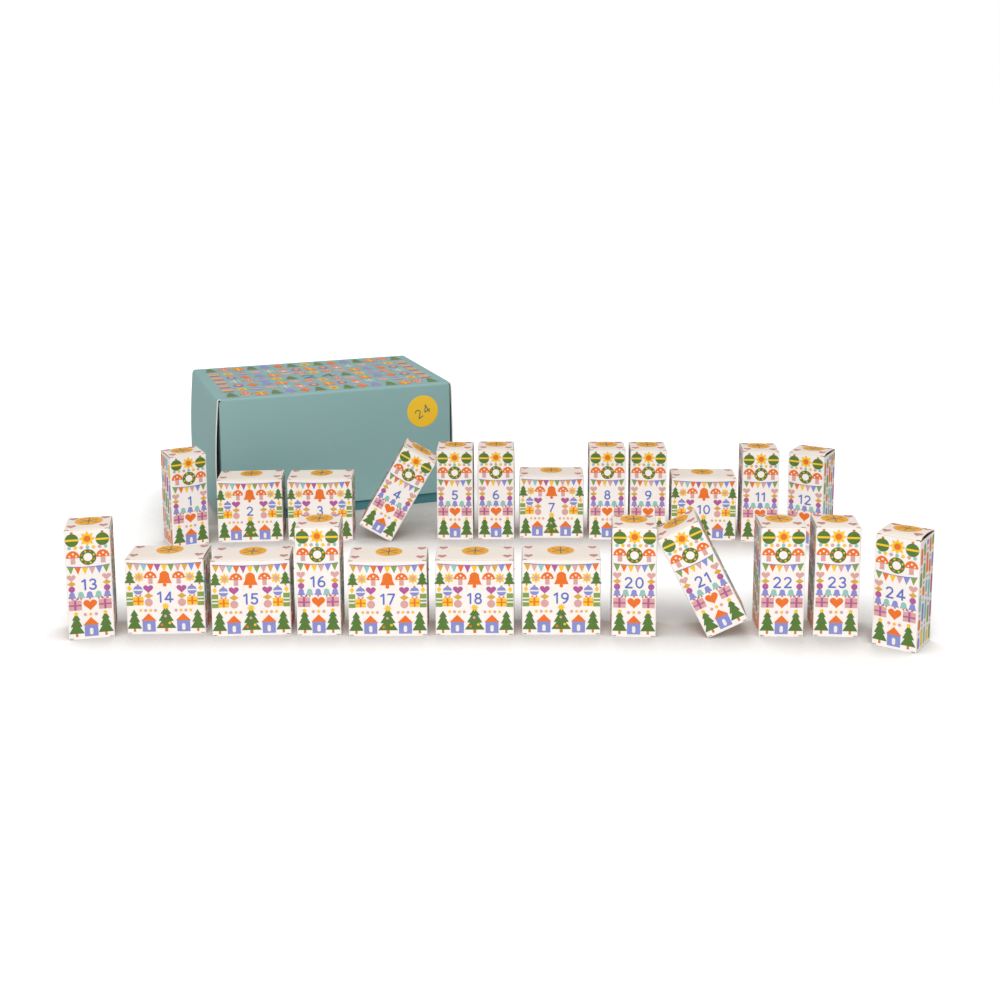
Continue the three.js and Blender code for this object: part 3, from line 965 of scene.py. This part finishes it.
# %% Where the storage box stands
BOX_TURN = 20.6
HALF = 123.5
BOX_DEPTH = 177.0
BOX_TOP = 130.0
LID_LOW = 11.0
BOX_BOARD = 1.2
FOLD = 2.2  # outer radius of the long folds
CORNER = 1.6  # outer radius of the folds to the corner tabs
TAB_SET_IN = 1.6  # the tabs' outer face lies this far inside the lid's end
TAB_LENGTH = 24.0
TAB_REACHES = (0.35, 0.7, 1.0)
TRAY_SET_BACK = 2.0  # the tray's front lies this far behind the lid's front
WALL_TOP = BOX_TOP - FOLD - 1.0  # the walls' flat part starts here
TOP_SAG, LONG_SWELL = 0.5, 0.7
LEFT_SWELL, RIGHT_SWELL = 4.2, 1.4

box_turn = Matrix.Rotation(math.radians(BOX_TURN), 4, "Z")
tray_corners = [box_turn.inverted() @ v.co for v in frame["nodes"]["box_tray"].data.vertices]
tray_x = [c.x for c in tray_corners]
box_place = box_turn @ Matrix.Translation((
    (min(tray_x) + max(tray_x)) / 2, min(c.y for c in tray_corners) - TRAY_SET_BACK * MM, 0))
print("storage box at", [round(x, 4) for x in box_place.translation])


# %% How the lid's boards bend
def share_out(low, high, count):
    return [low + (high - low) * i / count for i in range(count + 1)]


def sag(x, y):
    """The top dips a little in the middle."""
    return TOP_SAG * (1 - (x / HALF) ** 2) * (1 - (2 * y / BOX_DEPTH - 1) ** 2)


def front_swell(x, z):
    """The long walls swell out a little, and are straight along their folds and ends."""
    up = (z - LID_LOW) / (BOX_TOP - LID_LOW)
    return LONG_SWELL * max(0.0, 1 - (x / INNER_X) ** 2) * max(0.0, 1 - up**2)


def end_swell(side, z):
    """The end walls hang free, so they swell out most, and come back in at their feet."""
    down = max(0.0, min(1.0, (BOX_TOP - z) / (BOX_TOP - LID_LOW)))
    return (LEFT_SWELL if side < 0 else RIGHT_SWELL) * math.sin(math.pi * 0.72 * down**0.9)


print("sag of the top:", sag(0, BOX_DEPTH / 2), "mm")

# %% The lid's panels
INNER_X = HALF - TAB_SET_IN - CORNER
LONG_XS = [-INNER_X, -90, -60, -30, 0, 30, 60, 90, INNER_X]
TOP_YS = [FOLD, 20, 50, BOX_DEPTH / 2, BOX_DEPTH - 50, BOX_DEPTH - 20, BOX_DEPTH - FOLD]
FOLD_ANGLES = [math.radians(a) for a in (0, 22.5, 45, 67.5, 90)]


def add_top(skin):
    xs = [FOLD - HALF, *LONG_XS, HALF - FOLD]
    skin.grid([[(x, y, BOX_TOP - sag(x, y)) for x in xs] for y in TOP_YS])


def add_long_wall(skin, back):
    """A long wall under its fold, and the tabs at both ends that fold in from it."""

    def at(x, y, z):
        return (x, BOX_DEPTH - y, z) if back else (x, y, z)

    rows = []
    folds = len(FOLD_ANGLES)
    levels = [(FOLD * (1 - math.sin(a)), BOX_TOP - FOLD * (1 - math.cos(a)))
              for a in FOLD_ANGLES]
    levels += [(0.0, z) for z in share_out(WALL_TOP, LID_LOW, 9)]
    for index, (y, z) in enumerate(levels):
        row = [at(x, y - (front_swell(x, z) if index >= folds else 0.0), z) for x in LONG_XS]
        # the tab's upper edge starts under the fold, and both its edges slope to its end
        share = max(0.0, min(1.0, (WALL_TOP - z) / (WALL_TOP - LID_LOW)))
        for side in (-1, 1):
            tab = []
            for a in FOLD_ANGLES[1:]:
                tab.append((INNER_X + CORNER * math.sin(a), CORNER * (1 - math.cos(a)), z))
            for reach in TAB_REACHES:
                slope = 5.0 * reach * (1 - 2 * share)
                depth = CORNER + (TAB_LENGTH - CORNER) * reach
                tab.append((INNER_X + CORNER, depth, z - slope))
            tab = [at(side * tx, ty, tz) for tx, ty, tz in tab]
            row = tab[::-1] + row if side < 0 else row + tab
        rows.append(row)
    wing = len(FOLD_ANGLES) - 1 + len(TAB_REACHES)
    last = len(rows[0]) - 1 - wing
    skin.grid(rows, skip=lambda i, j: i < folds and (j < wing or j >= last))


def add_end_wall(skin, side):
    rows = []
    for a in FOLD_ANGLES:
        x, z = HALF - FOLD * (1 - math.sin(a)), BOX_TOP - FOLD * (1 - math.cos(a))
        rows.append([(side * x, y, z) for y in TOP_YS])
    for z in share_out(WALL_TOP, LID_LOW, 10):
        x = side * (HALF + end_swell(side, z))
        rows.append([(x, 0.5, z), *((x, y, z) for y in TOP_YS[1:-1]), (x, BOX_DEPTH - 0.5, z)])
    skin.grid(rows)


# %% Make the lid
def lid_place(u, v, lift):
    return (u, v, BOX_TOP - sag(u, v) + lift)


def front_place(u, v, lift):
    return (u, -front_swell(u, v) - lift, v)


lid = Skin()
add_top(lid)
for back in (False, True):
    add_long_wall(lid, back)
for side in (-1, 1):
    add_end_wall(lid, side)
storage_lid = add_piece("storage_lid_boards", lid, box_place, "box_lid",
                        [lid_board, lid_inside, lid_edge])
weld(storage_lid, box_place @ Vector((0, BOX_DEPTH / 2 * MM, 0.04)))
thicken(storage_lid, BOX_BOARD)
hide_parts("box_lid")
print("lid faces:", len(storage_lid.data.polygons))

# %% [markdown]
# ## The lid's print and sticker
# The top carries the same family of motifs on teal, set close in rows and columns round a
# plain middle. Placing seven rows of fifteen by hand would take a hundred lines, so the
# pattern is written as rows of letters, one letter to a motif, and mirrored to the back. Each
# row has its own stretch, because the camera sees the top at a low angle. The sticker is
# thin paper with a soft edge, so it is turned like a coin: a small round profile, swept
# round its middle.

# %% Print on the lid
LID_MOTIFS = {
    "F": [(fir, "deep_green", 0, -8.2, 14.4, 16.6)],
    "G": [(gift, "orange yellow", 0, -7.0, 12.0, 10.6)],
    "S": [(star, "yellow", 0, 0, 7.2, 0.6), (spot, "orange", 0, 0, 2.8)],
    "H": [(heart, "pink", 0, 0, 13.0, 13.6)],
    "B": [(bell, "blue", 0, 7.4, 12.8, 13.6)],
    "T": [(toadstool, "orange", 0, -7.2, 13.6, 14.4)],
    "O": [(bauble, "blue yellow", 0, -0.8, 6.4)],
    "N": [(house, "pink orange", 0, -7.6, 11.4, 15.2)],
    "D": [(diamond, "orange", 0, 0, 13.2, 14.0)],
    "M": [(disc, "magenta", 0, 0, 5.6), (star, "yellow", 0, 0, 3.6, 0.5, 1)],
    "W": [(snowflake, "cream", 0, 0, 5.8, 0.2)],
    "=": [(slab, "magenta", 0, -8.0, 11.0, 3.8), (slab, "yellow", 0, -2.2, 11.0, 3.8),
          (slab, "pink", 0, 3.6, 11.0, 3.8)],
}
LID_ROWS = [(18.0, 1.5, "FTGFBDFSFDBFGTF"), (43.5, 1.24, "=SOHWNMGMNWHOS="),
            (66.0, 1.24, "=MDBGHTSTHGBDM="), (BOX_DEPTH / 2, 1.24, "=WTOSF...FSOTW=")]
LID_ROWS += [(BOX_DEPTH - y, stretch, row) for y, stretch, row in LID_ROWS[:3]]
LID_PITCH = 15.2
LID_MIDDLE_COLUMN = 7
LID_PRINT_LIFT = 0.1


def lid_print():
    shapes = []
    for y, stretch, row in LID_ROWS:
        for j, letter in enumerate(row):
            if letter in LID_MOTIFS:
                x = LID_PITCH * (j - LID_MIDDLE_COLUMN)
                shapes += [(colour, layer, [(x + u, y + v * stretch) for u, v in outline])
                           for colour, layer, outline in drawn(LID_MOTIFS[letter])]
    return shapes + number("24", 0, BOX_DEPTH / 2, 17.0, "slate", 2.4, wide=1.5)


top_skin = Skin()
print_on(lid_print(), top_skin, lid_place, LID_PRINT_LIFT)
add_piece("storage_lid_print", top_skin, box_place, "box_lid", ink_finishes)
print("lid motif faces:", len(top_skin.faces))

# %% Sticker
STICKER_X, STICKER_Z = 91.0, 101.0
STICKER_RADIUS = 17.0
STICKER_SIDES = 48
STICKER_TILT = 30.0  # its number is turned by this angle
STICKER_FACE = 0.36  # the print lies this far out from the wall

sticker_skin = Skin()
profile = [(0.001, 0.34), (0.36, 0.34), (0.73, 0.33), (0.95, 0.3), (0.98, 0.24), (1.0, 0.1),
           (0.99, 0.04), (0.73, 0.04), (0.001, 0.04)]
sticker_rows = []
for reach, lift in profile:
    r = STICKER_RADIUS * reach
    circle = arc(STICKER_X, STICKER_Z, r, r, 0, 360, STICKER_SIDES)[:-1]
    sticker_rows.append([front_place(u, v, lift) for u, v in circle])
sticker_skin.grid(sticker_rows[::-1], closed=True)
sticker = add_piece("sticker_paper_disc", sticker_skin, box_place, "box_lid", [sticker_paper])
weld(sticker)
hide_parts("box_sticker")

day_skin = Skin()
print_on(number("24", STICKER_X, STICKER_Z, 10.0, "slate", 1.0, STICKER_TILT), day_skin,
         front_place, STICKER_FACE)
add_piece("sticker_print", day_skin, box_place, "box_lid", ink_finishes)
print("sticker faces:", len(sticker_skin.faces), "and in its print:", len(day_skin.faces))

# %% Tray finish
tray_mesh = frame["nodes"]["box_tray"].data
tray_mesh.materials.clear()
tray_mesh.materials.append(tray_board)
print("storage box done")

# %% [markdown]
# ## Light
# A product picture like this is lit by large soft boxes in a white room, so shadows are
# wide and soft. One soft box stands behind the camera and lights the front row a little
# more than the back one. A very wide sun stands for a second one far away, whose light
# doesn't fall off, and a bright world for the walls of the room.
# The floor and the world are white to the camera and to reflections, and a plain pale grey
# to everything else, so that the white round the set puts no extra light on the boards.
# Near the boards an ambient occlusion node dims the floor's glow: a painted contact shadow
# on top of the real shadows.

# %% Lamps
SUN_LIGHT = 1.12
SUN_WIDTH = 44.0
SUN_FROM = Vector((-0.12, -0.6, 0.8))
NEAR_LIGHT = 18.5
NEAR_PLACE = Vector((-0.05, -1.4, 1.45))
NEAR_AIM = Vector((0, -0.1, 0.05))
NEAR_SIZE = 1.0


def lamp(name, kind, place, towards, energy):
    data = bpy.data.lights.new(name, kind)
    data.energy = energy
    made = bpy.data.objects.new(name, data)
    made.location = place
    made.rotation_euler = (towards - place).to_track_quat("-Z", "Y").to_euler()
    bpy.context.scene.collection.objects.link(made)
    return data


sun = lamp("far_softbox", "SUN", SUN_FROM * 2, Vector(), SUN_LIGHT)
sun.angle = math.radians(SUN_WIDTH)
near = lamp("near_softbox", "AREA", NEAR_PLACE, NEAR_AIM, NEAR_LIGHT)
near.size = NEAR_SIZE
print("lamps:", len(bpy.data.lights))

# %% World
WORLD_LIGHT = 0.3
WHITE = (1.0, 1.0, 1.0, 1.0)


def seen_directly(start):
    """1 for what the camera, a reflection or clear glass sees, else 0."""
    share = start.node("ShaderNodeLightPath", output="Is Camera Ray")
    for kind in ("Is Glossy Ray", "Is Transmission Ray"):
        share = share.maths("MAXIMUM", share, start.node("ShaderNodeLightPath", output=kind))
    return share


def two_looks(start, own, seen, end):
    """Keeps a tree's own shader for bounced light, and shows the camera another one."""
    nodes = start.tree.nodes
    pick = start.node("ShaderNodeMixShader", inputs={
        0: seen_directly(start), 1: Value(start.tree, nodes[own].outputs[0]), 2: seen})
    start.tree.links.new(pick.socket, nodes[end].inputs["Surface"])


world = bpy.data.worlds.new("studio")
bpy.context.scene.world = world
world.use_nodes = True
room = world.node_tree.nodes["Background"]
room.inputs["Color"].default_value = WHITE
room.inputs["Strength"].default_value = WORLD_LIGHT
start = Value(world.node_tree)
white = start.node("ShaderNodeBackground", inputs={"Color": WHITE})
two_looks(start, "Background", white, "World Output")
print("nodes of the world:", len(world.node_tree.nodes))

# %% Floor finish
CARD = (0.78, 0.78, 0.78, 1.0)  # what the floor is to the light that bounces from it
CARD_ROUGHNESS = 0.9
SEEN_CARD = (0.46, 0.45, 0.44, 1.0)
PAINTED_SHADOW_TINT = (0.03, 0.014, 0.0, 1.0)  # the warm glow left in the deepest painted shadow
PAINTED_SHADOW_REACH = 0.13  # boards within this distance put a painted shadow on the floor's glow
PAINTED_SHADOW_CONTRAST, PAINTED_SHADOW_START, PAINTED_SHADOW_LEAST = 2.3, 1.07, 0.08
FRONT_ROW_EDGE = -0.2  # in front of this line the painted shadow by the boards is weaker
GLOW_RISE, GLOW_MIDDLE, GLOW_RANGE = 0.3, 0.74, (0.57, 0.95)
PLAIN_FROM, PLAIN_RISE = 0.75, 4.0  # beyond this distance from the middle all is white


def floor_finish():
    """Pale card that keeps the shadows, and a glow for what the lit card lacks to be white; near
    the boards ambient occlusion dims the glow, a painted contact shadow.
    """
    made = finish("white_sweep", lambda start: {}, Base_Color=CARD, Roughness=CARD_ROUGHNESS,
                  Specular_IOR_Level=0.0)
    start = Value(made.node_tree)
    paper = start.node("ShaderNodeBsdfDiffuse", inputs={"Color": SEEN_CARD})
    back = start.node("ShaderNodeSeparateXYZ", inputs={0: place_of(start)}, output="Y")
    # ambient occlusion dims the glow near the boards, towards a warm tint: a painted contact
    # shadow
    sky = start.node(
        "ShaderNodeAmbientOcclusion", {"samples": 8}, {"Distance": PAINTED_SHADOW_REACH}, "AO")
    in_front = (FRONT_ROW_EDGE - back).clamped()
    clear_of_painted_shadow = sky * PAINTED_SHADOW_CONTRAST - PAINTED_SHADOW_START + in_front * PAINTED_SHADOW_CONTRAST
    away = start.node(
        "ShaderNodeVectorMath", {"operation": "LENGTH"}, {0: place_of(start)}, "Value")
    far_off = ((away - PLAIN_FROM) * PLAIN_RISE).clamped(0.0, GLOW_RANGE[1])
    near_by = (back * GLOW_RISE + GLOW_MIDDLE).clamped(*GLOW_RANGE)
    share = start.maths("MAXIMUM", near_by, far_off) * clear_of_painted_shadow.clamped(PAINTED_SHADOW_LEAST)
    glow = start.node(
        "ShaderNodeEmission", inputs={"Color": mixed(start, share, PAINTED_SHADOW_TINT, WHITE)})
    lit = start.node("ShaderNodeAddShader", inputs={0: paper, 1: glow})
    two_looks(start, "Principled BSDF", lit, "Material Output")
    return made


floor.data.materials.append(floor_finish())
bpy.context.scene.view_settings.view_transform = "Standard"
print("floor is white to the camera")
